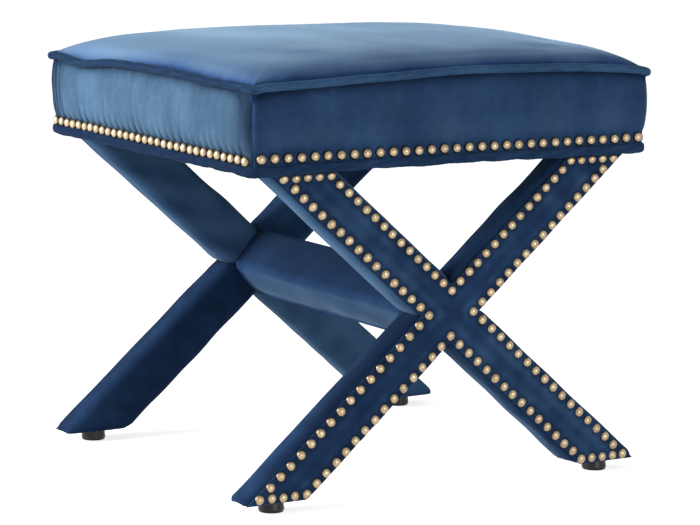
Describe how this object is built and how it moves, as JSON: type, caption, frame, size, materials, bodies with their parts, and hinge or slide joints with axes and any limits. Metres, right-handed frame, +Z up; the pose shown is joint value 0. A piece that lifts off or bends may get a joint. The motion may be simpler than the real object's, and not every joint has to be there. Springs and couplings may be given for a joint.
{
  "type": "ottoman",
  "caption": "Upholstered velvet ottoman with a crowned, welted box seat on two crossed leg frames joined by a stretcher, with rows of domed nail heads and plastic glides.",
  "frame": {"origin": "on the floor under the middle of the stool", "axes": "+Z up, +X along the faces of the leg frames, +Y to the rear; the frames lie parallel to the XZ plane"},
  "size_m": [0.518, 0.463, 0.484],
  "materials": {
    "velvet": "short pile velvet, soft sheen",
    "filling": "foam, wadding and cord, matt",
    "brass_nails": "satin antique brass",
    "steel": "zinc plated",
    "black_plastic": "moulded, satin",
    "dust_cloth": "black non-woven",
    "plywood": "raw plywood",
    "frame_wood": "raw sawn hardwood"
  },
  "bodies": {
    "root": {"bottom_welt": "velvet", "bottom_welt_cord": "filling", "boxing_front": "velvet", "boxing_left": "velvet", "boxing_rear": "velvet", "boxing_right": "velvet", "corner_block_front_left": "frame_wood", "corner_block_front_right": "frame_wood", "corner_block_rear_left": "frame_wood", "corner_block_rear_right": "frame_wood", "corner_block_screws": "steel", "deck_screws": "steel", "dust_cover": "dust_cloth", "dust_cover_staples": "steel", "front_board_falling": "frame_wood", "front_board_rising": "frame_wood", "front_face_panel": "velvet", "front_leg_nails": "brass_nails", "front_leg_wadding": "filling", "front_wrap_lower_left": "velvet", "front_wrap_lower_right": "velvet", "front_wrap_upper_left": "velvet", "front_wrap_upper_right": "velvet", "glide_front_left": "black_plastic", "glide_front_right": "black_plastic", "glide_rear_left": "black_plastic", "glide_rear_right": "black_plastic", "glide_screws": "steel", "leg_screws": "steel", "rear_board_falling": "frame_wood", "rear_board_rising": "frame_wood", "rear_face_panel": "velvet", "rear_leg_nails": "brass_nails", "rear_leg_wadding": "filling", "rear_wrap_lower_left": "velvet", "rear_wrap_lower_right": "velvet", "rear_wrap_upper_left": "velvet", "rear_wrap_upper_right": "velvet", "seat_batting": "filling", "seat_deck": "plywood", "seat_foam": "filling", "seat_nails_front": "brass_nails", "seat_nails_left": "brass_nails", "seat_nails_rear": "brass_nails", "seat_nails_right": "brass_nails", "seat_rail_front": "frame_wood", "seat_rail_left": "frame_wood", "seat_rail_rear": "frame_wood", "seat_rail_right": "frame_wood", "seat_side_wadding": "filling", "seat_top_panel": "velvet", "stretcher_bolts": "steel", "stretcher_core": "frame_wood", "stretcher_cover_left": "velvet", "stretcher_cover_right": "velvet", "stretcher_wadding": "filling", "stretcher_washers": "steel", "top_welt": "velvet", "top_welt_cord": "filling"}
  },
  "joints": []
}
